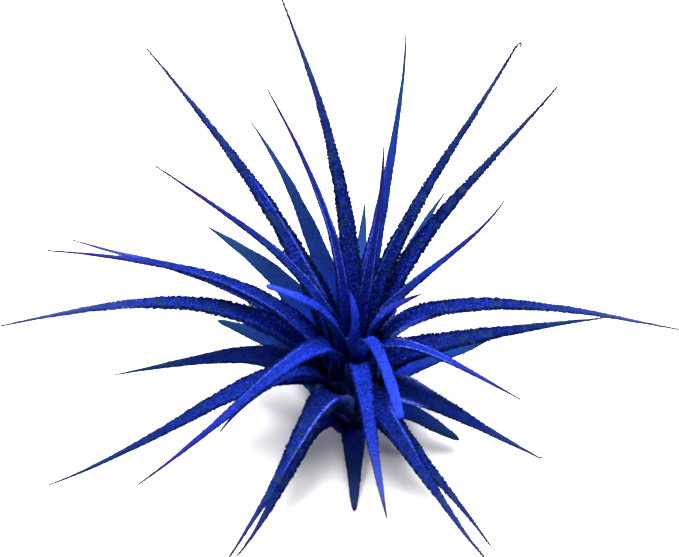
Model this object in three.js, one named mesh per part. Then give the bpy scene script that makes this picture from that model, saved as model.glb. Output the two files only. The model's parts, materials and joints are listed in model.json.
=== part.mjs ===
// A sky plant: an air plant whose stiff, channelled leaves stand out on all sides of a short stem.
// Millimetres, +Z up. The origin is the middle of the stem's flat foot, on the surface it stands on.
// Turns are degrees round the stem from +X towards +Y, and the plant's front faces -Y.

import * as THREE from "three";

// Driving dimensions of the stem
const STEM_HEIGHT = 21;
const STEM_FOOT_RADIUS = 5.2;
const STEM_BELLY_RADIUS = 5.7;
const STEM_BELLY_LEVEL = 5.9;
const STEM_SHOULDER_RADIUS = 4;
const STEM_SHOULDER_LEVEL = 13.9;
const STEM_TOP_RADIUS = 1.3;
const STEM_CROWN = 0.6; // the low cone on top of the stem
const STEM_SIDES = 28;
const STEM_STEPS = 14; // from its foot to its top
const SEAT_GAP = 0.3; // between a leaf's root and the stem
const SEATING_PASSES = 4;

// Driving dimensions of a blade, which is widest a little way out from its root
const ROOT_WIDTH_SHARE = 0.78; // of the blade's widest
const LEVEL_OF_WIDEST = 0.12; // along the blade
const TIP_WIDTH = 0.65;
const TAPER = 1.8; // 1 narrows a blade evenly to its tip, and more narrows it sooner
const LEAST_THICKNESS = 0.62; // at its midrib
const THICKNESS_SHARE = 0.2; // of its width there
const CHANNEL_SHARE = 0.3; // its margins' rise above its midrib, of its width there
const CHANNEL_END = 0.8; // along the blade, where its channel has run out
const BLADE_RINGS = 14;
const LAST_RING = 0.985; // along the blade
const RING_CROWDING = 1.3; // above 1, rings stand closer near the root, where a blade bends most

// The leaves, from the growing point down to those that nearly touch the ground. turn, reach and
// height place a tip, and level is the root's height on the stem. A leaf leaves its root at rise
// degrees and keeps to that for about lift millimetres. It arrives at its tip at fall degrees, which
// it keeps to for about glide millimetres. lean turns the root round the stem, and veer the tip's
// course, in degrees. sway bows the blade sideways, in millimetres, and width is its widest.
const HEART_LEAVES = [
  {
    turn: 262, reach: 3.2, height: 37, level: 20.2, rise: 88, lift: 6, fall: 86, glide: 6,
    sway: 0.7, taper: 0.8, width: 1.8,
  },
  {
    turn: 67.4, reach: 12.9, height: 56, level: 19.4, rise: 88, lift: 12, fall: 74, glide: 14,
    sway: -0.9, width: 2.9,
  },
  { turn: 350, reach: 11.4, height: 35.2, level: 19.2, rise: 86, lift: 8.5, fall: 38, glide: 6, width: 3.2 },
  {
    turn: 124, reach: 25, height: 60, level: 19, rise: 89, lift: 24, fall: 38, glide: 17,
    sway: -0.5, width: 2.8,
  },
  {
    turn: 200, reach: 14.8, height: 40.8, level: 19.4, rise: 90, lift: 9, fall: 40, glide: 9,
    taper: 1.3, width: 4,
  },
];
const INNER_LEAVES = [
  {
    turn: 20.3, reach: 26.5, height: 46, level: 18, rise: 86, lift: 17, fall: 60, glide: 12,
    lean: -6, sway: -0.9, width: 3,
  },
  {
    turn: 158, reach: 35, height: 50, level: 17.4, rise: 86, lift: 17, fall: 32, glide: 17,
    sway: -0.6, width: 3.3,
  },
  {
    turn: 50.6, reach: 45, height: 59, level: 16.2, rise: 84, lift: 22, fall: 42, glide: 21,
    lean: 1, sway: 0.5, width: 3.4,
  },
  {
    turn: 290, reach: 22.5, height: 27, level: 17.6, rise: 84, lift: 18, fall: -42, glide: 9,
    taper: 0.6, width: 2.7,
  },
  { turn: 217, reach: 44.3, height: 15.8, level: 16.8, rise: 85, lift: 16, fall: -8, glide: 21, width: 4.2 },
  {
    turn: 105, reach: 48, height: 57, level: 16.6, rise: 81, lift: 23, fall: 32, glide: 23,
    lean: 3, sway: -2.8, width: 4,
  },
  {
    turn: 333, reach: 31, height: 22.5, level: 16.4, rise: 84, lift: 14, fall: -13, glide: 11,
    lean: -4, width: 3.4,
  },
  {
    turn: 39, reach: 44, height: 54, level: 13.6, rise: 80, lift: 25, fall: 42, glide: 20,
    lean: 1, sway: 0.8, width: 4.2,
  },
  {
    turn: 135, reach: 49, height: 55.5, level: 14.6, rise: 74, lift: 20, fall: 28, glide: 22,
    lean: 4, sway: -0.7, width: 4.8,
  },
  {
    turn: 79, reach: 49, height: 46.5, level: 14.2, rise: 77, lift: 22, fall: 26, glide: 20,
    lean: 7, sway: -1.9, width: 3.8,
  },
];
const MIDDLE_LEAVES = [
  {
    turn: 168, reach: 53, height: 31, level: 13.6, rise: 72, lift: 24, fall: -8, glide: 20,
    lean: 8, width: 4.7,
  },
  {
    turn: 279, reach: 34.4, height: 17, level: 16.1, rise: 80, lift: 13.4, fall: 8, glide: 14,
    taper: 1.2, width: 3.6,
  },
  {
    turn: 2, reach: 55.5, height: 21, level: 14.8, rise: 84, lift: 22, fall: -20, glide: 23,
    lean: -1, width: 4.2,
  },
  { turn: 176, reach: 60.5, height: 19, level: 12.2, rise: 59, lift: 22, fall: -24, glide: 32, width: 5 },
  {
    turn: 214.5, reach: 27, height: 15, level: 12.2, rise: 66, lift: 12, fall: -34, glide: 9,
    lean: 4, sway: -0.9, width: 3.8,
  },
  {
    turn: 112.8, reach: 47, height: 29, level: 11.8, rise: 68, lift: 21, fall: -6, glide: 16,
    sway: -0.5, taper: 1.7, width: 5.6,
  },
  {
    turn: 81, reach: 27, height: 25, level: 11.2, rise: 66, lift: 11, fall: 10, glide: 9,
    lean: -6, width: 4.2,
  },
  {
    turn: 155, reach: 54.5, height: 20, level: 10.2, rise: 60, lift: 22, fall: -3, glide: 20,
    lean: -3, width: 4.8,
  },
  { turn: 14, reach: 46, height: 13, level: 11.2, rise: 64, lift: 5.5, fall: -6, glide: 18, width: 5 },
];
const OUTER_LEAVES = [
  {
    turn: 130.4, reach: 40, height: 15, level: 8, rise: 58, lift: 18, fall: -14, glide: 12,
    taper: 1.1, width: 6.4,
  },
  {
    turn: 64, reach: 38, height: 20, level: 8.6, rise: 60, lift: 17, fall: -12, glide: 12,
    lean: -6, taper: 1.5, width: 5.2,
  },
  {
    turn: 239.8, reach: 41.5, height: 7, level: 10.4, rise: 64, lift: 14, fall: -30, glide: 17,
    lean: 3, sway: 0.3, veer: -9, taper: 2.2, width: 5.7,
  },
  {
    turn: 298.2, reach: 46, height: 14, level: 10.8, rise: 68, lift: 7, fall: 10, glide: 19,
    sway: -0.4, taper: 2.3, width: 5,
  },
  {
    turn: 333, reach: 36.5, height: 8.5, level: 9.6, rise: 60, lift: 4.2, fall: -12, glide: 12,
    lean: 3, width: 5.4,
  },
  { turn: 202, reach: 55.5, height: 7.3, level: 9.6, rise: 67, lift: 18.5, fall: -3, glide: 22, width: 4.9 },
  { turn: 176, reach: 42, height: 7, level: 7, rise: 64, lift: 15, fall: -20, glide: 14, width: 6.4 },
  {
    turn: 86.4, reach: 37, height: 14, level: 6.4, rise: 54, lift: 12, fall: -8, glide: 10,
    taper: 1.2, width: 5,
  },
];
const GROUND_LEAVES = [
  {
    turn: 152, reach: 27, height: 10.1, level: 5.4, rise: 48, lift: 9, fall: -6, glide: 8,
    taper: 0.6, width: 4.8,
  },
  {
    turn: 24, reach: 27.4, height: 7.6, level: 6.4, rise: 40, lift: 6, fall: -4, glide: 8,
    sway: -0.6, taper: 0.9, width: 5.6,
  },
  {
    turn: 308.6, reach: 37.6, height: 1.4, level: 6.2, rise: 54, lift: 4, fall: -20, glide: 13,
    lean: -4, taper: 2.2, width: 4.4,
  },
  {
    turn: 238, reach: 36.6, height: 1.4, level: 5.4, rise: 44, lift: 8, fall: -20, glide: 13,
    lean: -4, sway: -1.5, veer: -21, width: 4.7,
  },
  {
    turn: 337, reach: 20, height: 2.5, level: 4.4, rise: 28, lift: 4, fall: -24, glide: 6,
    taper: 0.6, width: 4.1,
  },
  {
    turn: 271, reach: 21, height: 0.4, level: 3.4, rise: 22, lift: 5, fall: -22, glide: 6,
    taper: 0.8, width: 4,
  },
  { turn: 103, reach: 33, height: 3, level: 4.2, rise: 34, lift: 8, fall: -14, glide: 10, width: 5 },
  { turn: 128, reach: 31, height: 0.8, level: 2.8, rise: 22, lift: 6, fall: -14, glide: 10, width: 4.6 },
  { turn: 76, reach: 31, height: 0.9, level: 2.8, rise: 24, lift: 6, fall: -16, glide: 10, width: 4.8 },
  { turn: 64, reach: 23, height: 2, level: 4.6, rise: 34, lift: 7, fall: -12, glide: 8, width: 5.2 },
];
const TIERS = [
  { name: "heart_leaf", colour: 0x2338d8, leaves: HEART_LEAVES },
  { name: "inner_leaf", colour: 0x2134cc, leaves: INNER_LEAVES },
  { name: "middle_leaf", colour: 0x1c2dbb, leaves: MIDDLE_LEAVES },
  { name: "outer_leaf", colour: 0x16259c, leaves: OUTER_LEAVES },
  { name: "ground_leaf", colour: 0x101c7a, leaves: GROUND_LEAVES },
];

function outward(turn, climb = 0) {
  const t = THREE.MathUtils.degToRad(turn);
  const c = THREE.MathUtils.degToRad(climb);
  return new THREE.Vector3(Math.cos(t) * Math.cos(c), Math.sin(t) * Math.cos(c), Math.sin(c));
}

// The stem's outline from its foot to the growing point.
const stemPoints = new THREE.SplineCurve([
  new THREE.Vector2(STEM_FOOT_RADIUS, 0),
  new THREE.Vector2(STEM_BELLY_RADIUS, STEM_BELLY_LEVEL),
  new THREE.Vector2(STEM_SHOULDER_RADIUS, STEM_SHOULDER_LEVEL),
  new THREE.Vector2(STEM_TOP_RADIUS, STEM_HEIGHT),
]).getPoints(STEM_STEPS);

function stemRadius(height) {
  const above = stemPoints.findIndex((point) => point.y >= height);
  if (above < 1) return stemPoints.at(above).x;
  const lower = stemPoints[above - 1];
  const upper = stemPoints[above];
  return THREE.MathUtils.mapLinear(height, lower.y, upper.y, lower.x, upper.x);
}

function stem() {
  const foot = new THREE.Vector2(0, 0);
  const top = new THREE.Vector2(0, STEM_HEIGHT + STEM_CROWN);
  const geometry = new THREE.LatheGeometry([foot, ...stemPoints, top], STEM_SIDES);
  geometry.rotateX(Math.PI / 2); // the lathe turns round +Y, and the stem stands along +Z
  const bark = new THREE.MeshStandardMaterial({ color: 0x4a4632, roughness: 0.9, metalness: 0 });
  const mesh = new THREE.Mesh(geometry, bark);
  mesh.name = "stem";
  return mesh;
}

// The midrib: it leaves the stem at its rise, and arrives at its tip at its fall. A curve of this
// kind bows by three quarters of what both of its handles are moved by.
function midrib(leaf) {
  const rootTurn = leaf.turn + (leaf.lean ?? 0);
  const root = outward(rootTurn).multiplyScalar(stemRadius(leaf.level) + leaf.seat);
  root.z = leaf.level;
  const tip = outward(leaf.turn).multiplyScalar(leaf.reach);
  tip.z = leaf.height;
  const aside = outward(leaf.turn + 90).multiplyScalar((leaf.sway ?? 0) / 0.75);
  const early = outward(rootTurn, leaf.rise).multiplyScalar(leaf.lift).add(root).add(aside);
  const arriving = outward(leaf.turn + (leaf.veer ?? 0), leaf.fall);
  const late = arriving.multiplyScalar(-leaf.glide).add(tip).add(aside);
  return new THREE.CubicBezierCurve3(root, early, late, tip);
}

// A blade's width at a share of its length from root (0) to tip (1).
function bladeWidth(leaf, along) {
  if (along < LEVEL_OF_WIDEST) {
    const share = Math.sin((along / LEVEL_OF_WIDEST) * (Math.PI / 2));
    return leaf.width * THREE.MathUtils.lerp(ROOT_WIDTH_SHARE, 1, share);
  }
  const left = (1 - along) / (1 - LEVEL_OF_WIDEST);
  return THREE.MathUtils.lerp(TIP_WIDTH, leaf.width, Math.pow(left, leaf.taper ?? TAPER));
}

// A channelled section has eight corners, anticlockwise seen from the root: a margin, three on the
// face, the other margin and three on the back.
const ACROSS = [-1, -0.5, 0, 0.5, 1, 0.5, 0, -0.5];
const FACE = [0, 1, 1, 1, 0, -1, -1, -1];

function sectionCorners(leaf, along, middle, side, normal) {
  const width = bladeWidth(leaf, along);
  const thickness = Math.max(LEAST_THICKNESS, width * THICKNESS_SHARE);
  const channel = width * CHANNEL_SHARE * Math.max(0, 1 - along / CHANNEL_END);
  return ACROSS.map((u, i) => {
    const bulge = FACE[i] * (thickness / 2) * Math.sqrt(1 - u * u);
    return middle
      .clone()
      .addScaledVector(side, (u * width) / 2)
      .addScaledVector(normal, channel * u * u + bulge);
  });
}

// Rings of corners from root to tip, carried along the midrib without twisting.
function bladeRings(leaf) {
  const curve = midrib(leaf);
  const rings = [];
  const side = outward(leaf.turn + (leaf.lean ?? 0) + 90);
  for (let i = 0; i < BLADE_RINGS; i++) {
    const along = Math.pow(i / (BLADE_RINGS - 1), RING_CROWDING) * LAST_RING;
    const middle = curve.getPointAt(along);
    const forward = curve.getTangentAt(along);
    side.addScaledVector(forward, -side.dot(forward)).normalize();
    const normal = new THREE.Vector3().crossVectors(forward, side);
    rings.push(sectionCorners(leaf, along, middle, side, normal));
  }
  return { rings, tip: curve.getPointAt(1) };
}

// Moves a root outward until every corner of its first ring is clear of the stem.
function seated(leaf) {
  let seat = SEAT_GAP;
  for (let pass = 0; pass < SEATING_PASSES; pass++) {
    const { rings } = bladeRings({ ...leaf, seat });
    const short = rings[0].map((p) => stemRadius(p.z) + SEAT_GAP - Math.hypot(p.x, p.y));
    seat += Math.max(...short);
  }
  return { ...leaf, seat };
}

// A closed surface over the rings. The back's quads are split the other way round the ring, so
// that both faces of the blade are split along the same line.
function blade(leaf) {
  const { rings, tip } = bladeRings(leaf);
  const sides = ACROSS.length;
  const corner = (i, j) => i * sides + (j % sides);
  const faces = [];
  for (let i = 0; i + 1 < rings.length; i++) {
    for (let j = 0; j < sides; j++) {
      const a = corner(i, j);
      const b = corner(i, j + 1);
      const c = corner(i + 1, j + 1);
      const d = corner(i + 1, j);
      if (j < sides / 2) faces.push(a, c, b, a, d, c);
      else faces.push(a, d, b, b, d, c);
    }
  }
  for (let j = 1; j + 1 < sides; j++) faces.push(corner(0, 0), corner(0, j), corner(0, j + 1));
  const last = rings.length - 1;
  const end = rings.length * sides;
  for (let j = 0; j < sides; j++) faces.push(corner(last, j + 1), corner(last, j), end);
  const geometry = new THREE.BufferGeometry().setFromPoints([...rings.flat(), tip]);
  geometry.setIndex(faces);
  return geometry;
}

const plant = new THREE.Group();
plant.add(stem());
for (const { name, colour, leaves } of TIERS) {
  const coat = new THREE.MeshStandardMaterial({ color: colour, roughness: 0.85, metalness: 0 });
  leaves.forEach((leaf, i) => {
    const mesh = new THREE.Mesh(blade(seated(leaf)), coat);
    mesh.name = `${name}_${String(i + 1).padStart(2, "0")}`;
    plant.add(mesh);
  });
}

export default plant;
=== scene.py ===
# A sky plant with a dyed blue coat: the finish of its leaves and stem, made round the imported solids.
# Metres, +Z up, with the plant's front towards -Y.

import json
import math
from types import SimpleNamespace

import bmesh
import bpy
import numpy as np
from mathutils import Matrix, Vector


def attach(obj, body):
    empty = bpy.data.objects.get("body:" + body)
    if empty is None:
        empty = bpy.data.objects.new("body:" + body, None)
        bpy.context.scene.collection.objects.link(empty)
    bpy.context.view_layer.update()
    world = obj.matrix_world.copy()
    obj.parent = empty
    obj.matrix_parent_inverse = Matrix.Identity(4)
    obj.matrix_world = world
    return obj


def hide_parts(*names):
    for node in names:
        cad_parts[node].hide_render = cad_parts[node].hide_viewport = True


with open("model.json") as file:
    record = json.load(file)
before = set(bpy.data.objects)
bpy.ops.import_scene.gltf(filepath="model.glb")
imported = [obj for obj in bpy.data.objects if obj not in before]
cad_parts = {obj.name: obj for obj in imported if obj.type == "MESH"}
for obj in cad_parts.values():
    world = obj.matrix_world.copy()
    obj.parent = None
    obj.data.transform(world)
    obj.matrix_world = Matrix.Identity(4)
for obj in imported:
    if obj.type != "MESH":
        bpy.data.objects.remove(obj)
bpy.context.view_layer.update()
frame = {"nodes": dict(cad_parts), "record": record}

MM = 0.001
SEED = 41

# The photograph's view of the plant
LOOK_DOWN = math.radians(50)
LOOK_AT = Vector((-2.26, 18.12, 15.21)) * MM
VIEW_DISTANCE = 420 * MM
FOCAL_LENGTH = 2377  # pixels
IMAGE_WIDTH = 679  # pixels
SENSOR_WIDTH = 36
NEAREST_SEEN = 10 * MM

# The studio
FLOOR_SIZE = 6
FLOOR_PAPER = (0.8, 0.8, 0.8, 1)
ROOM_LIGHT = 0.01
SOFTBOXES = {  # place, diameter and power
    "overhead_softbox": ((0.0, 0.22, 0.74), 0.8, 29),
    "left_softbox": ((-0.62, 0.3, 0.36), 0.4, 4),
    "right_softbox": ((0.62, 0.3, 0.36), 0.4, 4),
}

# The stem's finished shape
STEM_RINGS = 90
STEM_SIDES = 96
SCALE_HEIGHT = 3.4 * MM  # from one row of old leaf bases to the next
SCALE_DROP = 2.6 * MM  # from the middle of an old base's upper edge to its sides
SCALE_DEPTH = 0.45 * MM
SCALE_ROWS = 8
SCALES_ROUND = 6
THINNEST = 0.2 * MM  # the stem's radius at least

# How a leaf's solid is read
WELD = 0.005 * MM
STEM_MIDDLE = Vector((0, 0, 10)) * MM
SOLID_CORNERS = 8  # in one ring
BLUNT_TIP = 0.65 * MM  # its width at the tip

# A leaf's finished shape
RING_STEP = 0.6 * MM
AROUND = 18  # points round one section
FINE_TIP = 0.22 * MM
TIP_SHARPNESS = 5  # how late a leaf narrows to its fine tip
THICKEST = 0.7  # its thickness at most, as a share of its width
SHEATH = 3.6 * MM  # how far its base runs down the stem below its root
SHEATH_FLARE = 0.25  # how much wider the base is than the root, as a share
FLARE_END = 6 * MM  # beyond the root, where the flare and the wrap have run out
WRAP_LIMIT = 1.35  # radians that half the base wraps round the stem at most
FLOOR_GAP = 0.25 * MM
WANDER = 0.05 * MM  # how far a leaf strays aside on its way to the tip
WANDER_FULL = 0.4  # where along the leaf it strays that far
WANDER_WAVES = ((31 * MM, 1.0), (17 * MM, 0.5), (7.5 * MM, 0.16))  # wavelength and share
SWELL = 0.04  # how much its width comes and goes, as a share
SWELL_WAVE = 9 * MM
PLUMP_SKEW = 1.5  # above 1, a plump leaf is broadest beyond its middle
CURL_TIGHTENING = 1.3  # above 1, a curl is tightest at its tip

# How the blue changes along a leaf: where the near part's tone gives way, and over what stretch
TONE_TURN = 0.2
TONE_STRETCH = 0.4

# Painted shade: how dark a leaf is at its root, as a share of its tone, and from and over how much of
# its length
ROOT_SHADE = 0.82
ROOT_SHADE_START = -0.03
ROOT_SHADE_STRETCH = 0.16
# Painted shade: a leaf's underside darker than its upper face
UNDERSIDE_SHADE = 0.2  # how much darker its underside is

# Leaves whose roots lie deeper in the heart's dark, with how dark the painted shade at their roots is
DEEP_ROOTS = {
    "heart_leaf_01": 0.45,
    "heart_leaf_02": 0.7,
    "heart_leaf_04": 0.7,
    "inner_leaf_04": 0.3,
    "inner_leaf_06": 0.65,
    "outer_leaf_05": 0.68,
}

# The coat's grains
GRAIN = 0.33 * MM
GRAIN_RADIUS = 0.55  # the radius, height and sunken foot of a grain, as shares of its size
GRAIN_HEIGHT = 1.15
GRAIN_SINK = 0.3
GRAIN_LEAN = math.radians(50)  # how far a grain leans from upright at most
GRAIN_SIZES = (0.45, 1.3)  # the smallest and the largest, as shares of the size
GRAIN_TONES = (0.1, 1)  # the darkest and the brightest
COVER = 13 / MM**2  # grains on a leaf whose cover is 1
LUMPS = 0.05 * MM  # how far the blade's lumps stand out
LUMP_SIZE = 0.8 * MM
SLIM = 2.2 * MM  # the width of leaf below which lumps and grains get smaller
SLIMMEST = 0.3  # their least size, as a share
SLIM_SHRINK = 0.75  # how much of that shrinking the grains take part in
COAT_START = 5 * MM  # from the foot of the sheath to where the coat is full
MARGIN_COVER = 2  # how many more grains the margins have
CRUMB_COVER = 0.8  # the cover above which a leaf's margins have larger grains
CRUMB_GROWTH = 2.2
COVER_UNSEEN = 0.25  # how much cover goes before grains stand out from the ground
LEAST_CONTRAST = 0.35
SEED_STEP = 10  # from one leaf's seed to the next one's

# How the coat took on each leaf: how bright its blue is near the root and further out, partly the dye
# and partly painted light and shade, how well grains cover it, and its worn end's tint with, last, how
# dry its fine tip is
VIOLET = (0.0175, 0.0120, 0.105, 1)
TEAL = (0.0055, 0.0200, 0.062, 1)
PLAIN = (0.0135, 0.0215, 0.084, 1)
PALE = (0.0280, 0.0430, 0.150, 1)
FRESH = (0.0180, 0.0450, 0.600, 0)
COATS_AND_PAINTED_LIGHT = {
    "heart_leaf_01": (1.00, 1.15, 0.5, FRESH),
    "heart_leaf_02": (0.66, 0.68, 0.8, VIOLET),
    "heart_leaf_03": (0.48, 0.76, 0.6, VIOLET),
    "heart_leaf_04": (0.76, 0.58, 0.8, VIOLET),
    "heart_leaf_05": (0.76, 0.66, 0.7, FRESH),
    "inner_leaf_01": (0.50, 0.60, 0.9, VIOLET),
    "inner_leaf_02": (0.62, 0.52, 0.9, VIOLET),
    "inner_leaf_03": (0.54, 0.46, 1.2, PLAIN),
    "inner_leaf_04": (0.90, 0.56, 0.6, FRESH),
    "inner_leaf_05": (0.82, 0.68, 0.9, VIOLET),
    "inner_leaf_06": (0.60, 0.46, 1.2, PLAIN),
    "inner_leaf_07": (0.64, 0.76, 0.9, VIOLET),
    "inner_leaf_08": (0.80, 0.44, 1.3, PLAIN),
    "inner_leaf_09": (0.62, 0.58, 1.3, PLAIN),
    "inner_leaf_10": (0.56, 0.52, 0.5, TEAL),
    "middle_leaf_01": (0.62, 0.66, 1.0, VIOLET),
    "middle_leaf_02": (0.82, 0.86, 0.8, PALE),
    "middle_leaf_03": (0.68, 0.60, 1.2, PALE),
    "middle_leaf_04": (0.84, 0.66, 1.3, PALE),
    "middle_leaf_05": (0.66, 0.92, 0.8, VIOLET),
    "middle_leaf_06": (0.66, 0.36, 0.15, TEAL),
    "middle_leaf_07": (0.60, 0.70, 0.3, TEAL),
    "middle_leaf_08": (0.94, 0.82, 0.9, PALE),
    "middle_leaf_09": (0.64, 0.46, 1.2, TEAL),
    "outer_leaf_01": (0.80, 0.38, 0.1, TEAL),
    "outer_leaf_02": (1.05, 0.85, 0.15, TEAL),
    "outer_leaf_03": (0.54, 0.68, 1.1, PLAIN),
    "outer_leaf_04": (0.70, 0.60, 1.1, PLAIN),
    "outer_leaf_05": (0.42, 0.44, 0.8, PLAIN),
    "outer_leaf_06": (0.78, 0.56, 1.0, TEAL),
    "outer_leaf_07": (0.52, 0.42, 0.8, TEAL),
    "outer_leaf_08": (0.90, 1.05, 0.1, TEAL),
    "ground_leaf_01": (0.80, 0.85, 0.1, TEAL),
    "ground_leaf_02": (1.00, 1.00, 0.1, TEAL),
    "ground_leaf_03": (0.98, 0.54, 1.1, PLAIN),
    "ground_leaf_04": (0.92, 0.58, 1.1, PLAIN),
    "ground_leaf_05": (0.90, 0.85, 0.1, TEAL),
    "ground_leaf_06": (0.70, 0.38, 0.2, PLAIN),
    "ground_leaf_07": (0.50, 0.50, 0.3, PLAIN),
    "ground_leaf_08": (0.50, 0.50, 0.3, PLAIN),
    "ground_leaf_09": (0.50, 0.50, 0.3, PLAIN),
    "ground_leaf_10": (0.50, 0.50, 0.3, PLAIN),
}

# Painted highlights, pale lines where a leaf's rims catch the light: where across it, from -1 to 1,
# from and to where along it, and how strong
RIM_HIGHLIGHTS = {
    "heart_leaf_02": (0.75, 0.22, 0.75, 0.7),
    "heart_leaf_03": (0.60, 0.20, 0.70, 0.4),
    "heart_leaf_04": (0.65, 0.22, 0.72, 0.8),
    "inner_leaf_01": (0.75, 0.15, 0.60, 0.6),
    "inner_leaf_02": (-0.70, 0.12, 0.60, 0.7),
    "inner_leaf_03": (0.70, 0.10, 0.50, 0.5),
    "inner_leaf_05": (-0.70, 0.20, 0.60, 0.5),
    "inner_leaf_07": (0.70, 0.20, 0.70, 0.6),
    "inner_leaf_08": (0.85, 0.08, 0.40, 0.5),
    "inner_leaf_09": (-0.55, 0.10, 0.60, 0.9),
    "inner_leaf_10": (0.70, 0.15, 0.60, 0.5),
    "middle_leaf_01": (0.45, 0.20, 0.60, 0.5),
    "middle_leaf_03": (-0.96, 0.02, 0.30, 0.8),
    "middle_leaf_08": (-0.90, 0.05, 0.35, 0.5),
    "outer_leaf_02": (0.80, 0.20, 0.90, 0.9),
    "outer_leaf_03": (0.50, 0.12, 0.62, 0.8),
    "outer_leaf_04": (0.60, 0.12, 0.50, 0.6),
    "outer_leaf_05": (-0.96, 0.00, 0.30, 0.9),
}
RIM_FADES = (0.08, 0.15)  # over how much of a leaf a line comes and goes
BOTH_RIMS = {"heart_leaf_02", "heart_leaf_04", "inner_leaf_07"}  # leaves with a line on each side

# Pale margins on both sides of a leaf: from and to where along it, and how strong
LIPS = {
    "middle_leaf_02": (-0.1, 0.12, 0.5),
    "middle_leaf_03": (-0.1, 0.25, 0.6),
    "middle_leaf_04": (0.58, 0.70, 0.7),
    "outer_leaf_03": (-0.1, 0.2, 0.5),
    "outer_leaf_05": (-0.1, 0.32, 1.0),
    "outer_leaf_07": (-0.1, 0.3, 0.6),
    "ground_leaf_02": (-0.1, 0.2, 0.5),
}
LIP_FADES = (0.08, 0.1)
LIP_INNER = 0.7  # where across a leaf a pale margin starts
LIP_SOFTNESS = 0.25

# Leaves whose ends stay broad, with their width there
BROAD_ENDS = {
    "inner_leaf_04": 1.3 * MM,
    "heart_leaf_05": 1.0 * MM,
    "ground_leaf_05": 0.5 * MM,
    "ground_leaf_06": 0.6 * MM,
}

# Leaves that are broader midway, with by how much
PLUMP = {
    "heart_leaf_03": 0.6 * MM,
    "heart_leaf_05": 0.5 * MM,
}

# Tips that curl: over how long a stretch, and by how many degrees, up where above 0
CURLS = {
    "inner_leaf_03": (2.6 * MM, -150),
    "outer_leaf_05": (1.8 * MM, 75),
}


class Wire:
    """An output of a node. Arithmetic on it adds Math nodes to its tree."""

    def __init__(self, maker, node, socket):
        self.maker = maker
        self.node = node
        self.socket = socket

    def other(self, output):
        return Wire(self.maker, self.node, self.node.outputs[output])

    def __add__(self, value):
        return self.maker.math("ADD", self, value)

    def __sub__(self, value):
        return self.maker.math("SUBTRACT", self, value)

    def __rsub__(self, value):
        return self.maker.math("SUBTRACT", value, self)

    def __mul__(self, value):
        return self.maker.math("MULTIPLY", self, value)

    __radd__ = __add__


class Maker:
    """Adds nodes to one tree."""

    def __init__(self, tree):
        self.tree = tree

    def node(self, kind, settings=None, inputs=None, output=0):
        """A node with its settings made first, then its sockets given values or wires."""
        node = self.tree.nodes.new(kind)
        for name, value in (settings or {}).items():
            if name == "stops":
                set_stops(node.color_ramp, value)
            else:
                setattr(node, name, value)
        for key, value in (inputs or {}).items():
            for each in value if isinstance(value, list) else [value]:
                if isinstance(each, Wire):
                    self.tree.links.new(each.socket, node.inputs[key])
                else:
                    node.inputs[key].default_value = each
        return Wire(self, node, node.outputs[output]) if node.outputs else None

    def math(self, operation, *values):
        return self.node("ShaderNodeMath", {"operation": operation}, dict(enumerate(values)))

    def clamped(self, value):
        return self.node("ShaderNodeClamp", inputs={"Value": value})

    def between(self, value, low, high):
        """0 where the value is below low and 1 where it is above high, with a soft change."""
        bounds = {"Value": value, "From Min": low, "From Max": high}
        return self.node("ShaderNodeMapRange", {"interpolation_type": "SMOOTHSTEP"}, bounds)

    def mix(self, share, first, second):
        """A colour between two, in the Mix node's colour sockets."""
        settings = {"data_type": "RGBA", "blend_type": "MIX", "clamp_factor": True}
        return self.node("ShaderNodeMix", settings, {0: share, 6: first, 7: second}, 2)

    def attribute(self, name, output="Fac"):
        return self.node("ShaderNodeAttribute", {"attribute_name": name}, output=output)

    def noise(self, vector, size, detail=2.0, roughness=0.5):
        """A number round 0.5 whose pattern is about size across."""
        inputs = {"Vector": vector, "Scale": 1 / size, "Detail": detail, "Roughness": roughness}
        return self.node("ShaderNodeTexNoise", inputs=inputs)


def set_stops(ramp, stops):
    while len(ramp.elements) < len(stops):
        ramp.elements.new(1)
    for element, (place, colour) in zip(ramp.elements, stops):
        element.position = place
        element.color = (*colour, 1)


# The camera

def make_camera():
    data = bpy.data.cameras.new("camera")
    data.sensor_width = SENSOR_WIDTH
    data.lens = FOCAL_LENGTH / IMAGE_WIDTH * SENSOR_WIDTH
    data.clip_start = NEAREST_SEEN
    eye = bpy.data.objects.new("camera", data)
    back = Vector((0, -math.cos(LOOK_DOWN), math.sin(LOOK_DOWN)))
    eye.location = LOOK_AT + back * VIEW_DISTANCE
    eye.rotation_euler = (math.pi / 2 - LOOK_DOWN, 0, 0)
    bpy.context.scene.collection.objects.link(eye)
    bpy.context.scene.camera = eye


# A leaf's course, read from its solid

def rings_from(start):
    """The corners of a solid in rings, each one edge further from start."""
    rings = []
    seen = set()
    ring = {start}
    while ring:
        seen |= ring
        rings.append(sorted(ring, key=lambda v: v.index))
        ring = {edge.other_vert(v) for v in ring for edge in v.link_edges} - seen
    return rings


def solid_rings(node):
    """The rings of corners of a leaf's solid from root to tip, with the tip as the last."""
    shape = bmesh.new()
    shape.from_mesh(frame["nodes"][node].data)
    bmesh.ops.remove_doubles(shape, verts=shape.verts, dist=WELD)
    shape.verts.index_update()
    outermost_first = sorted(shape.verts, key=lambda v: -(v.co - STEM_MIDDLE).length)
    for start in outermost_first:
        rings = rings_from(start)
        if all(len(ring) == SOLID_CORNERS for ring in rings[1:]):
            break
    rings = [np.array([v.co for v in ring]) for ring in reversed(rings)]
    shape.free()
    return rings


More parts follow.
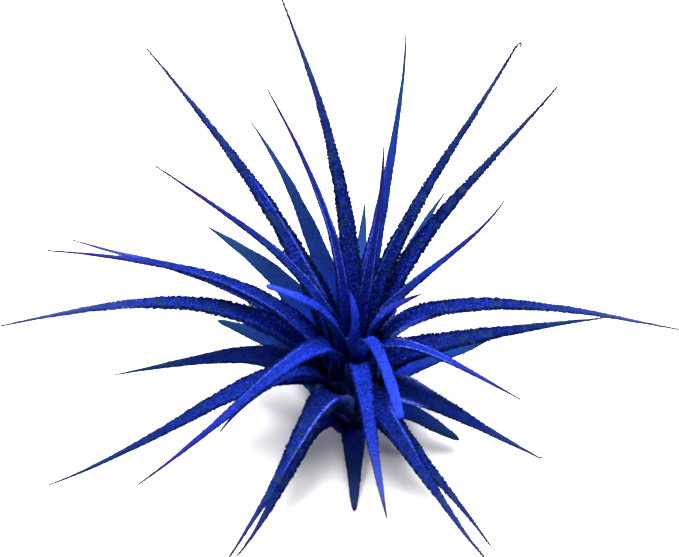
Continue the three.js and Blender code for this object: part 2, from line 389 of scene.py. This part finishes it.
def ring_facts(ring, hint):
    """A ring's middle on the midrib, the unit vector across it on hint's side, and its sizes."""
    gaps = np.linalg.norm(ring[:, None] - ring[None], axis=2)
    first, second = np.unravel_index(np.argmax(gaps), gaps.shape)
    width = gaps[first, second]
    across = (ring[second] - ring[first]) / width
    if across @ hint < 0:
        across = -across
    edge_middle = (ring[first] + ring[second]) / 2
    nearest = np.argsort(np.abs((ring - edge_middle) @ across))[:2]
    middle = ring[nearest].mean(axis=0)
    thickness = np.linalg.norm(ring[nearest[0]] - ring[nearest[1]])
    rise = np.linalg.norm(edge_middle - middle)
    return middle, across, width, thickness, rise


def through(places, values, wanted):
    """Values at the wanted places, on a smooth curve through those given."""
    slopes = np.gradient(values, places, axis=0)
    i = np.clip(np.searchsorted(places, wanted) - 1, 0, len(places) - 2)
    gap = places[i + 1] - places[i]
    t = (wanted - places[i]) / gap
    if values.ndim > 1:
        gap = gap[:, None]
        t = t[:, None]
    start = values[i] * (2 * t**3 - 3 * t**2 + 1) + slopes[i] * gap * (t**3 - 2 * t**2 + t)
    end = values[i + 1] * (3 * t**2 - 2 * t**3) + slopes[i + 1] * gap * (t**3 - t**2)
    return start + end


def unit(vectors):
    return vectors / np.linalg.norm(vectors, axis=-1, keepdims=True)


def soft_step(value):
    t = np.clip(value, 0, 1)
    return t * t * (3 - 2 * t)


def stem_outline():
    """The stem's radius at each height of its solid."""
    corners = np.array([v.co for v in frame["nodes"]["stem"].data.vertices])
    heights = np.round(corners[:, 2], 6)
    levels = np.unique(heights)
    radii = [np.hypot(corners[heights == z, 0], corners[heights == z, 1]).max() for z in levels]
    return levels, np.array(radii)


STEM_LEVELS, STEM_RADII = stem_outline()


def leaf_course(node):
    """A leaf's course as arrays along it: the places of its rings, and what ring_facts gives there."""
    rings = solid_rings(node)
    root = rings[0].mean(axis=0)
    hint = unit(np.array([-root[1], root[0], 0]))
    facts = []
    for ring in rings[:-1]:
        facts.append(ring_facts(ring, hint))
        hint = facts[-1][1]
    facts.append((rings[-1][0], hint, BLUNT_TIP, facts[-1][3], 0.0))
    middle, across, width, thickness, rise = (np.array(column) for column in zip(*facts))
    steps = np.linalg.norm(np.diff(middle, axis=0), axis=1)
    places = np.concatenate([[0], np.cumsum(steps)])
    return places, middle, across, width, thickness, rise


def with_sheath(course):
    """The course, carried on below the root by a base that runs down the stem and sinks into it."""
    places, middle, across, width, thickness, rise = course
    root = middle[0]
    out = unit(np.array([root[0], root[1], 0]))
    stand_off = np.hypot(root[0], root[1]) - np.interp(root[2], STEM_LEVELS, STEM_RADII)
    length = min(SHEATH, root[2] - FLOOR_GAP)
    added = []
    for share in (1.0, 0.5):
        height = root[2] - share * length
        sunk = stand_off * (1 - share) - 0.5 * thickness[0] * share
        radius = np.interp(height, STEM_LEVELS, STEM_RADII) + sunk
        added.append(out * radius + np.array([0, 0, height]))
    side = unit(np.array([-root[1], root[0], 0]))
    return (
        np.concatenate([[-length, -0.5 * length], places]),
        np.concatenate([added, middle]),
        np.concatenate([[side, side], across]),
        np.concatenate([width[:1], width[:1], width]),
        np.concatenate([thickness[:1], thickness[:1], thickness]),
        np.concatenate([rise[:1], rise[:1], rise]),
        length,
    )


def curled(middle, across, places, curl):
    """The course's middle with its last stretch curled round the leaf's own side."""
    stretch, degrees = curl
    start = np.searchsorted(places, places[-1] - stretch)
    forward = unit(middle[start] - middle[start - 1])
    up = unit(np.cross(forward, across[start]))
    run = places[start:] - places[start]
    turn = np.radians(degrees) * (run / run[-1]) ** CURL_TIGHTENING
    heading = forward * np.cos(turn)[:, None] + up * np.sin(turn)[:, None]
    steps = heading[1:] * np.diff(run)[:, None]
    middle[start + 1:] = middle[start] + np.cumsum(steps, axis=0)
    return middle


def leaf_line(node, chance):
    """A leaf's finished course at even steps, from the foot of its sheath to its tip."""
    places, middle, across, width, thickness, rise, sheath = with_sheath(leaf_course(node))
    length = places[-1]
    at = np.linspace(-sheath, length, round((length + sheath) / RING_STEP))
    along = at / length
    beyond_root = np.clip(along, 0, 1)

    middle = through(places, middle, at)
    across = unit(through(places, across, at))
    wander = sum(
        share * np.sin(2 * math.pi * (at / wave + chance.random())) for wave, share in WANDER_WAVES
    )
    middle += across * (WANDER * wander * soft_step(along / WANDER_FULL))[:, None]
    if node in CURLS:
        middle = curled(middle, across, at, CURLS[node])
    forward = unit(np.gradient(middle, at, axis=0))
    across = unit(across - forward * np.sum(across * forward, axis=1)[:, None])

    width = through(places, width, at)
    width -= (BLUNT_TIP - BROAD_ENDS.get(node, FINE_TIP)) * beyond_root**TIP_SHARPNESS
    width += PLUMP.get(node, 0) * np.sin(math.pi * beyond_root**PLUMP_SKEW)
    width *= 1 + SWELL * np.sin(2 * math.pi * (at / SWELL_WAVE + chance.random()))
    width *= 1 + SHEATH_FLARE * soft_step((FLARE_END - at) / (FLARE_END + sheath))
    thickness = np.minimum(through(places, thickness, at), width * THICKEST)
    rise = np.clip(through(places, rise, at), 0, None)
    return SimpleNamespace(
        at=at, along=along, sheath=sheath, middle=middle, forward=forward, across=across,
        width=width, thickness=thickness, rise=rise,
    )


def blade_points(line, u, v):
    """The points of a blade, ring by ring, with its tip as the last. u and v go round a section."""
    normal = np.cross(line.forward, line.across)
    root = line.middle[np.searchsorted(line.at, 0)]
    wrap = math.hypot(root[0], root[1])
    hug = soft_step((FLARE_END - line.at) / FLARE_END)
    aside = u[None] * line.width[:, None] / 2
    bent = np.minimum(np.abs(aside) / wrap, WRAP_LIMIT)
    flat_section = aside, line.rise[:, None] * u[None] ** 2
    round_section = np.sign(aside) * wrap * np.sin(bent), wrap * (1 - np.cos(bent))
    aside, lift = (
        flat + (curved - flat) * hug[:, None] for flat, curved in zip(flat_section, round_section)
    )
    lift = lift + v[None] * line.thickness[:, None] / 2
    points = line.middle[:, None] + line.across[:, None] * aside[..., None]
    points = points + normal[:, None] * lift[..., None]
    points[..., 2] = np.maximum(points[..., 2], FLOOR_GAP)
    tip = line.middle[-1] + line.forward[-1] * FINE_TIP
    return np.concatenate([points.reshape(-1, 3), [tip]])


def blade_faces(count):
    """The faces over count rings, closed by one face at the root and a fan at the tip."""
    ring = np.arange(AROUND)
    onward = np.roll(ring, -1)
    faces = []
    for i in range(count - 1):
        near = i * AROUND
        far = near + AROUND
        faces += np.stack([near + ring, far + ring, far + onward, near + onward], axis=1).tolist()
    last = (count - 1) * AROUND
    faces.append(ring.tolist())
    faces += [[last + int(b), last + int(a), count * AROUND] for a, b in zip(ring, onward)]
    return faces


def within(along, begin, end, fades):
    """1 between begin and end along a leaf, fading to 0 towards both."""
    return soft_step((along - begin) / fades[0]) * soft_step((end - along) / fades[1])


def coat_marks(node, line, u, v):
    """What the coat reads on a blade: values that fit its rings by the points round them."""
    near, far, cover, _ = COATS_AND_PAINTED_LIGHT[node]
    along = line.along[:, None]
    edge = np.abs(u)
    root_shade = DEEP_ROOTS.get(node, ROOT_SHADE)
    past_root = soft_step((along - ROOT_SHADE_START) / ROOT_SHADE_STRETCH)
    # the near and far tones hold painted light and shade as well as the dye
    tone = near + (far - near) * soft_step((along - TONE_TURN) / TONE_STRETCH)
    # painted shade: darker towards the root
    tone *= root_shade + (1 - root_shade) * past_root
    past_foot = soft_step((line.at[:, None] + line.sheath) / COAT_START)
    rim_place, begin, end, rim = RIM_HIGHLIGHTS.get(node, (0, 0, 1, 0))
    lip_begin, lip_end, lip = LIPS.get(node, (0, 1, 0))
    lip_margin = soft_step((edge - LIP_INNER) / LIP_SOFTNESS)
    return {
        "along": along,
        "across": u,
        "upper": v,
        # painted shade on the underside
        "tone": tone * (1 - UNDERSIDE_SHADE * soft_step(0.5 - 1.5 * v)),
        "cover": cover * past_foot * (1 + MARGIN_COVER * edge**6),
        "slimness": np.clip(line.width[:, None] / SLIM, SLIMMEST, 1),
        "crumbs": 1 + CRUMB_GROWTH * max(cover - CRUMB_COVER, 0) * edge**8,
        "contrast": min(max(cover - COVER_UNSEEN, LEAST_CONTRAST), 1),
        "bareness": 1 - min(cover, 1),
        "rim": rim * within(along, begin, end, RIM_FADES),
        "rim_place": abs(rim_place),
        "rim_side": np.sign(rim_place),
        "rim_both": float(node in BOTH_RIMS),
        "lip": lip * within(along, lip_begin, lip_end, LIP_FADES) * lip_margin,
    }


def leaf_blade(node, chance):
    """A leaf's smooth blade as a mesh, with what its coat reads as attributes."""
    angle = np.linspace(0, 2 * math.pi, AROUND, endpoint=False)
    u = -np.cos(angle)
    v = np.sin(angle)
    line = leaf_line(node, chance)
    count = len(line.at)
    points = blade_points(line, u, v)
    mesh = bpy.data.meshes.new(node + "_blade")
    mesh.from_pydata(points.tolist(), [], blade_faces(count))
    mesh.shade_smooth()
    for name, values in coat_marks(node, line, u, v).items():
        values = np.broadcast_to(values, (count, AROUND)).ravel()
        mark = mesh.attributes.new(name, "FLOAT", "POINT")
        mark.data.foreach_set("value", np.append(values, values[-1]).astype(np.float32))
    tint = COATS_AND_PAINTED_LIGHT[node][-1]
    mark = mesh.attributes.new("tip_tint", "FLOAT_COLOR", "POINT")
    mark.data.foreach_set("color", np.tile(tint, len(points)).astype(np.float32))
    return mesh


# The coat: lumps on the blade and grains sown over it

def sown_coat():
    """Geometry nodes that roughen a blade and sow small three-sided grains over it."""
    tree = bpy.data.node_groups.new("sown_coat", "GeometryNodeTree")
    sockets = (
        ("Blade", "NodeSocketGeometry", None),
        ("Grain", "NodeSocketFloat", GRAIN),
        ("Cover", "NodeSocketFloat", COVER),
        ("Lumps", "NodeSocketFloat", LUMPS),
        ("Seed", "NodeSocketInt", 0),
        ("Material", "NodeSocketMaterial", None),
    )
    for name, kind, default in sockets:
        socket = tree.interface.new_socket(name, in_out="INPUT", socket_type=kind)
        if default is not None:
            socket.default_value = default
    tree.interface.new_socket("Coated", in_out="OUTPUT", socket_type="NodeSocketGeometry")
    make = Maker(tree)
    given = make.node("NodeGroupInput", output="Blade")

    def read(name):
        return make.node("GeometryNodeInputNamedAttribute", {"data_type": "FLOAT"}, {"Name": name})

    def draw(low, high, seed):
        wanted = {2: low, 3: high, "Seed": given.other("Seed") + seed}
        return make.node("FunctionNodeRandomValue", {"data_type": "FLOAT"}, wanted, 1)

    lump = (make.noise(make.node("GeometryNodeInputPosition"), LUMP_SIZE) - 0.5) * 2
    out = make.node("GeometryNodeInputNormal")
    pushed = {0: out, "Scale": lump * given.other("Lumps") * read("slimness")}
    push = make.node("ShaderNodeVectorMath", {"operation": "SCALE"}, pushed)
    lumpy = make.node("GeometryNodeSetPosition", inputs={"Geometry": given, "Offset": push})

    density = given.other("Cover") * read("cover")
    spread = {"Mesh": lumpy, "Density": density, "Seed": given.other("Seed")}
    spots = make.node("GeometryNodeDistributePointsOnFaces", inputs=spread)
    store = {"data_type": "FLOAT", "domain": "POINT"}
    tone = {"Geometry": spots, "Name": "grain_tone", "Value": draw(*GRAIN_TONES, 1)}
    toned = make.node("GeometryNodeStoreNamedAttribute", store, tone)

    size = {
        "Vertices": 3, "Radius Top": 0.0, "Radius Bottom": given.other("Grain") * GRAIN_RADIUS,
        "Depth": given.other("Grain") * GRAIN_HEIGHT,
    }
    cone = make.node("GeometryNodeMeshCone", {"fill_type": "NGON"}, size)
    sunk = make.node("ShaderNodeCombineXYZ", inputs={"Z": given.other("Grain") * -GRAIN_SINK})
    seated = make.node("GeometryNodeTransform", inputs={"Geometry": cone, "Translation": sunk})
    sharp = {"Geometry": seated, "Shade Smooth": False}
    grain = make.node("GeometryNodeSetShadeSmooth", inputs=sharp)

    angles = {
        "X": draw(-GRAIN_LEAN, GRAIN_LEAN, 2),
        "Y": draw(-GRAIN_LEAN, GRAIN_LEAN, 3),
        "Z": draw(0, 2 * math.pi, 4),
    }
    angle = make.node("ShaderNodeCombineXYZ", inputs=angles)
    spin = make.node("FunctionNodeEulerToRotation", inputs={"Euler": angle})
    turned = {"Rotation": spots.other("Rotation"), "Rotate By": spin}
    turn = make.node("FunctionNodeRotateRotation", {"rotation_space": "LOCAL"}, turned)
    slimmed = read("slimness") * SLIM_SHRINK + (1 - SLIM_SHRINK)
    scale = draw(*GRAIN_SIZES, 5) * slimmed * read("crumbs")
    placed = {"Points": toned, "Instance": grain, "Rotation": turn, "Scale": scale}
    grains = make.node("GeometryNodeInstanceOnPoints", inputs=placed)

    joined = make.node("GeometryNodeJoinGeometry", inputs={"Geometry": [grains, lumpy]})
    real = make.node("GeometryNodeRealizeInstances", inputs={"Geometry": joined})
    painted = {"Geometry": real, "Material": given.other("Material")}
    done = make.node("GeometryNodeSetMaterial", inputs=painted)
    make.node("NodeGroupOutput", inputs={"Coated": done})
    return tree


def run_tree(name, mesh, tree, inputs):
    """A plain mesh object of what a geometry tree makes of a mesh."""
    draft = bpy.data.objects.new(name + "_draft", mesh)
    bpy.context.scene.collection.objects.link(draft)
    modifier = draft.modifiers.new(tree.name, "NODES")
    modifier.node_group = tree
    identifiers = {
        item.name: item.identifier
        for item in tree.interface.items_tree
        if item.item_type == "SOCKET" and item.in_out == "INPUT"
    }
    for key, value in inputs.items():
        modifier[identifiers[key]] = value
    evaluated = draft.evaluated_get(bpy.context.evaluated_depsgraph_get())
    made = bpy.data.meshes.new_from_object(evaluated)
    draft.modifiers.remove(modifier)
    bpy.data.objects.remove(draft)
    made.name = name
    piece = bpy.data.objects.new(name, made)
    bpy.context.scene.collection.objects.link(piece)
    return piece


# Finishes

# The blue from its deepest to its brightest, with the tone at which each comes
BLUES = (
    (0.0, (0.0009, 0.0022, 0.009)),
    (0.2, (0.0018, 0.0052, 0.039)),
    (0.4, (0.0034, 0.0098, 0.108)),
    (0.6, (0.0060, 0.0175, 0.225)),
    (0.8, (0.0100, 0.0290, 0.398)),
    (1.0, (0.0180, 0.0480, 0.660)),
)
# painted highlight: the pale blue of the lines where rims catch the light
PAINTED_RIM_LIGHT = (0.080, 0.130, 0.74, 1)
PALE_LIP = (0.085, 0.150, 0.66, 1)
BARE = (0.0005, 0.0020, 0.010, 1)  # a leaf with hardly any coat, where it is darkest
BARE_PALE = (0.0068, 0.0240, 0.110, 1)  # and where it is brightest
THIN_COAT = (0.012, 0.028, 0.056, 1)  # patches where the green of the leaf comes through
DRY = (0.012, 0.009, 0.026, 1)
# The stem's old leaf bases, darkest where they dip in and bluer at their raised edges; their near
# black is partly painted shade that keeps the heart's gaps dark
OLD_SCALE = (0.0030, 0.0080, 0.038)
OLD_SCALE_EDGE = (0.015, 0.040, 0.260)

# Painted shade: the darkening of each slot's copy of the coat, as a share
SLOT_SHADES = {"bright_coat": 0.0, "blue_coat": 0.04, "deep_coat": 0.08}

# The sizes of what varies in the finishes
CLOUD_SIZE = 2.6 * MM
PATCH_SIZE = 1.4 * MM
BEAD_SIZE = 0.36 * MM
MOTTLE_SIZE = 0.32 * MM
NAP_SIZE = 0.16 * MM
NAP_HEIGHT = 0.12 * MM
STREAK_SIZE = 0.3  # in streaks' own space, where a leaf is 2.4 long and 6 across
BARK_SPECKS = 0.5 * MM
BARK_FIBRES = 0.2 * MM  # their height


def new_material(name):
    material = bpy.data.materials.new(name)
    material.use_nodes = True
    material.node_tree.nodes.clear()
    return material, Maker(material.node_tree)


def finish_surface(make, constants, linked):
    """The surface shader, with its constants set on the sockets themselves."""
    shader = make.node("ShaderNodeBsdfPrincipled", inputs={**constants, **linked})
    make.node("ShaderNodeOutputMaterial", inputs={"Surface": shader})


def coat_tone(make, place, mottle):
    """How bright the blue is: grains stand out from the ground, margins are darker, and the tone mark
    brings painted shade.
    """
    across = make.attribute("across")
    grain = make.attribute("grain_tone")
    coated = 1 - make.attribute("bareness")
    contrast = make.attribute("contrast")
    clouds = make.noise(place, CLOUD_SIZE, 3)
    run = {"X": make.attribute("along") * 2.4, "Y": across * 3, "Z": make.attribute("upper") * 0.5}
    streaks = make.noise(make.node("ShaderNodeCombineXYZ", inputs=run), STREAK_SIZE, 3)

    on_grain = make.between(grain, 0.03, 0.08)  # the blade between the grains has a grain tone of 0
    margin = make.between(make.math("ABSOLUTE", across), 0.74, 0.98)
    grain_tone = ((grain - 0.5) * 1.2 * contrast + 0.98) * (1 - margin * 0.6)
    ground_tone = (1 - coated * 0.44 * contrast) * (1 - margin * 0.15 * coated)
    ground_tone = ground_tone * (1 + (mottle - 0.5) * (0.4 + contrast * 0.8))
    tone = ground_tone + (grain_tone - ground_tone) * on_grain
    tone = tone * (0.72 + clouds * 0.56) * (1 + (streaks - 0.5) * 0.5)
    return tone * make.attribute("tone")


def painted_rim_light_and_shade(make, place):
    """The beaded pale line along a leaf, a painted highlight on its rim, and the darker band on its
    outer side, painted shade where the margin folds.
    """
    across = make.attribute("across")
    edge = make.math("ABSOLUTE", across)
    both = make.attribute("rim_both")
    sideways = across * make.attribute("rim_side") * (1 - both) + edge * both
    past_line = sideways - make.attribute("rim_place")
    rim = make.attribute("rim")
    beads = make.between(make.noise(place, BEAD_SIZE, 2, 0.6), 0.36, 0.54)
    line = (1 - make.between(make.math("ABSOLUTE", past_line), 0.05, 0.17)) * rim * beads
    fold_shade = make.between(past_line, 0.1, 0.26) * rim
    return line, fold_shade


def coat_colour(make, tone, line):
    """The blue of a tone, greener where a leaf is bare, paler on its painted highlight line and its
    margins.
    """
    bareness = make.attribute("bareness")
    blue = make.node("ShaderNodeValToRGB", {"stops": BLUES}, {"Fac": tone + line * 0.25})
    bare = make.mix(make.clamped(tone), BARE, BARE_PALE)
    past_root = make.between(make.attribute("along"), 0.12, 0.4)
    bared = make.between(bareness, 0.3, 0.9) * past_root * 0.8
    rimmed = make.mix(line * 0.9, make.mix(bared, blue, bare), PAINTED_RIM_LIGHT)
    return make.mix(make.attribute("lip") * 0.85, rimmed, PALE_LIP)


def worn_colour(make, place, mottle, colour):
    """A coat's colour with thin patches, a worn end and a dry tip."""
    along = make.attribute("along")
    bareness = make.attribute("bareness")
    contrast = make.attribute("contrast")
    patch = make.between(make.noise(place, PATCH_SIZE, 4, 0.6), 0.44, 0.68)
    thin = patch * make.between(along, 0.15, 0.4) * (1 - make.between(along, 0.8, 0.95))
    thin = thin * contrast * contrast * 0.9
    patched = make.mix(thin * (1 - bareness), colour, THIN_COAT)

    worn = make.between(along + bareness * 0.1, 0.5, 1.0) * (0.5 + mottle * 0.8)
    worn = worn * (1.2 - make.attribute("grain_tone") * contrast * 0.8)
    tinted = make.mix(make.clamped(worn * 0.9), patched, make.attribute("tip_tint", "Color"))

    fine = 1 - make.between(make.attribute("slimness"), 0.32, 0.42)
    dry = make.between(along, 0.84, 0.98) * fine * make.attribute("tip_tint", "Alpha") * 0.9
    return make.mix(dry, tinted, DRY)


def dyed_coat(name, slot_shade):
    """The dyed coat on a leaf, darkened by a share of painted shade."""
    material, make = new_material(name)
    place = make.node("ShaderNodeTexCoord", output="Object")
    mottle = make.noise(place, MOTTLE_SIZE, 3, 0.7)
    # painted highlight along the rim, and painted shade on the band beyond it
    line, fold_shade = painted_rim_light_and_shade(make, place)
    tone = coat_tone(make, place, mottle) * (1 - slot_shade) * (1 - fold_shade * 0.45)
    colour = worn_colour(make, place, mottle, coat_colour(make, tone, line))
    height = make.noise(place, NAP_SIZE, 2)
    nap_inputs = {"Strength": 0.6, "Distance": NAP_HEIGHT, "Height": height}
    nap = make.node("ShaderNodeBump", inputs=nap_inputs)
    rough = make.clamped(0.95 - make.attribute("bareness") * 0.2 + (mottle - 0.5) * 0.15)
    linked = {"Base Color": colour, "Roughness": rough, "Normal": nap}
    finish_surface(make, {"Specular IOR Level": 0.0}, linked)
    return material


def old_bark():
    """The stem's finish: dark remains of old leaf bases, their near black partly painted shade."""
    material, make = new_material("stem_bark")
    place = make.node("ShaderNodeTexCoord", output="Object")
    ridge = make.attribute("ridge")
    specks = make.noise(place, BARK_SPECKS, 4, 0.7)
    stops = ((0.25, OLD_SCALE), (0.8, OLD_SCALE_EDGE))
    colour = make.node("ShaderNodeValToRGB", {"stops": stops}, {"Fac": ridge * 0.7 + specks * 0.4})
    fibres = {"Strength": 0.5, "Distance": BARK_FIBRES, "Height": specks}
    nap = make.node("ShaderNodeBump", inputs=fibres)
    linked = {"Base Color": colour, "Roughness": make.clamped(0.8 + specks * 0.2), "Normal": nap}
    finish_surface(make, {"Specular IOR Level": 0.0}, linked)
    return material


def stem_finish():
    """The stem under rows of old leaf bases that overlap upward, closed at both ends."""
    levels = np.linspace(STEM_LEVELS[0], STEM_LEVELS[-1], STEM_RINGS)
    turns = np.linspace(0, 2 * math.pi, STEM_SIDES, endpoint=False)
    height, turn = np.meshgrid(levels, turns, indexing="ij")
    ridge = np.zeros_like(height)
    for row in reversed(range(SCALE_ROWS)):
        place = turn * SCALES_ROUND / (2 * math.pi) + row / 2
        off_middle = 2 * (place - np.floor(place)) - 1
        below_edge = (row + 1) * SCALE_HEIGHT - SCALE_DROP * off_middle**2 - height
        base = np.clip(1 - below_edge / SCALE_HEIGHT, 0, 1)
        ridge = np.where(below_edge > 0, base, ridge)
    radius = np.interp(height, STEM_LEVELS, STEM_RADII) - SCALE_DEPTH * (1 - ridge)
    radius = np.clip(radius, THINNEST, None)
    points = np.stack([radius * np.cos(turn), radius * np.sin(turn), height], axis=-1).reshape(-1, 3)
    bottom = len(points)
    ends = [[0, 0, levels[0]], [0, 0, levels[-1]]]
    faces = []
    for i in range(STEM_RINGS - 1):
        for j in range(STEM_SIDES):
            a = i * STEM_SIDES + j
            b = i * STEM_SIDES + (j + 1) % STEM_SIDES
            faces.append([a, b, b + STEM_SIDES, a + STEM_SIDES])
    last = (STEM_RINGS - 1) * STEM_SIDES
    for j in range(STEM_SIDES):
        onward = (j + 1) % STEM_SIDES
        faces.append([onward, j, bottom])
        faces.append([last + j, last + onward, bottom + 1])
    mesh = bpy.data.meshes.new("stem_finish")
    mesh.from_pydata(np.concatenate([points, ends]).tolist(), [], faces)
    mesh.shade_smooth()
    mark = mesh.attributes.new("ridge", "FLOAT", "POINT")
    mark.data.foreach_set("value", np.append(ridge.ravel(), [0, 0]).astype(np.float32))
    mesh.materials.append(old_bark())
    piece = bpy.data.objects.new("stem_finish", mesh)
    bpy.context.scene.collection.objects.link(piece)
    return piece


def plain_floor():
    bpy.ops.mesh.primitive_plane_add(size=FLOOR_SIZE)
    floor = bpy.context.active_object
    floor.name = "floor"
    material, make = new_material("white_paper")
    paper = {"Base Color": FLOOR_PAPER, "Roughness": 0.8, "Specular IOR Level": 0.1}
    finish_surface(make, paper, {})
    floor.data.materials.append(material)


def add_light(name, place, size, power):
    data = bpy.data.lights.new(name, "AREA")
    data.shape = "DISK"
    data.size = size
    data.energy = power
    lamp = bpy.data.objects.new(name, data)
    lamp.location = place
    lamp.rotation_euler = (-Vector(place)).to_track_quat("-Z", "Y").to_euler()
    bpy.context.scene.collection.objects.link(lamp)


def studio():
    world = bpy.data.worlds.new("white_studio")
    world.use_nodes = True
    world.node_tree.nodes["Background"].inputs["Color"].default_value = (1, 1, 1, 1)
    world.node_tree.nodes["Background"].inputs["Strength"].default_value = ROOM_LIGHT
    bpy.context.scene.world = world
    for name, (place, size, power) in SOFTBOXES.items():
        add_light(name, place, size, power)
    bpy.context.scene.view_settings.view_transform = "Standard"


make_camera()
coat_tree = sown_coat()
finishes = {name: dyed_coat(name, slot_shade) for name, slot_shade in SLOT_SHADES.items()}
slots = {part["node"]: part["material_slot"] for part in frame["record"]["subparts"]}
chance = np.random.default_rng(SEED)
for number, node in enumerate(COATS_AND_PAINTED_LIGHT):
    blade = leaf_blade(node, chance)
    inputs = {"Seed": SEED + SEED_STEP * number, "Material": finishes[slots[node]]}
    leaf = run_tree(node + "_coated", blade, coat_tree, inputs)
    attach(leaf, "root")
    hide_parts(node)
stem = stem_finish()
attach(stem, "root")
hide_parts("stem")

plain_floor()
studio()
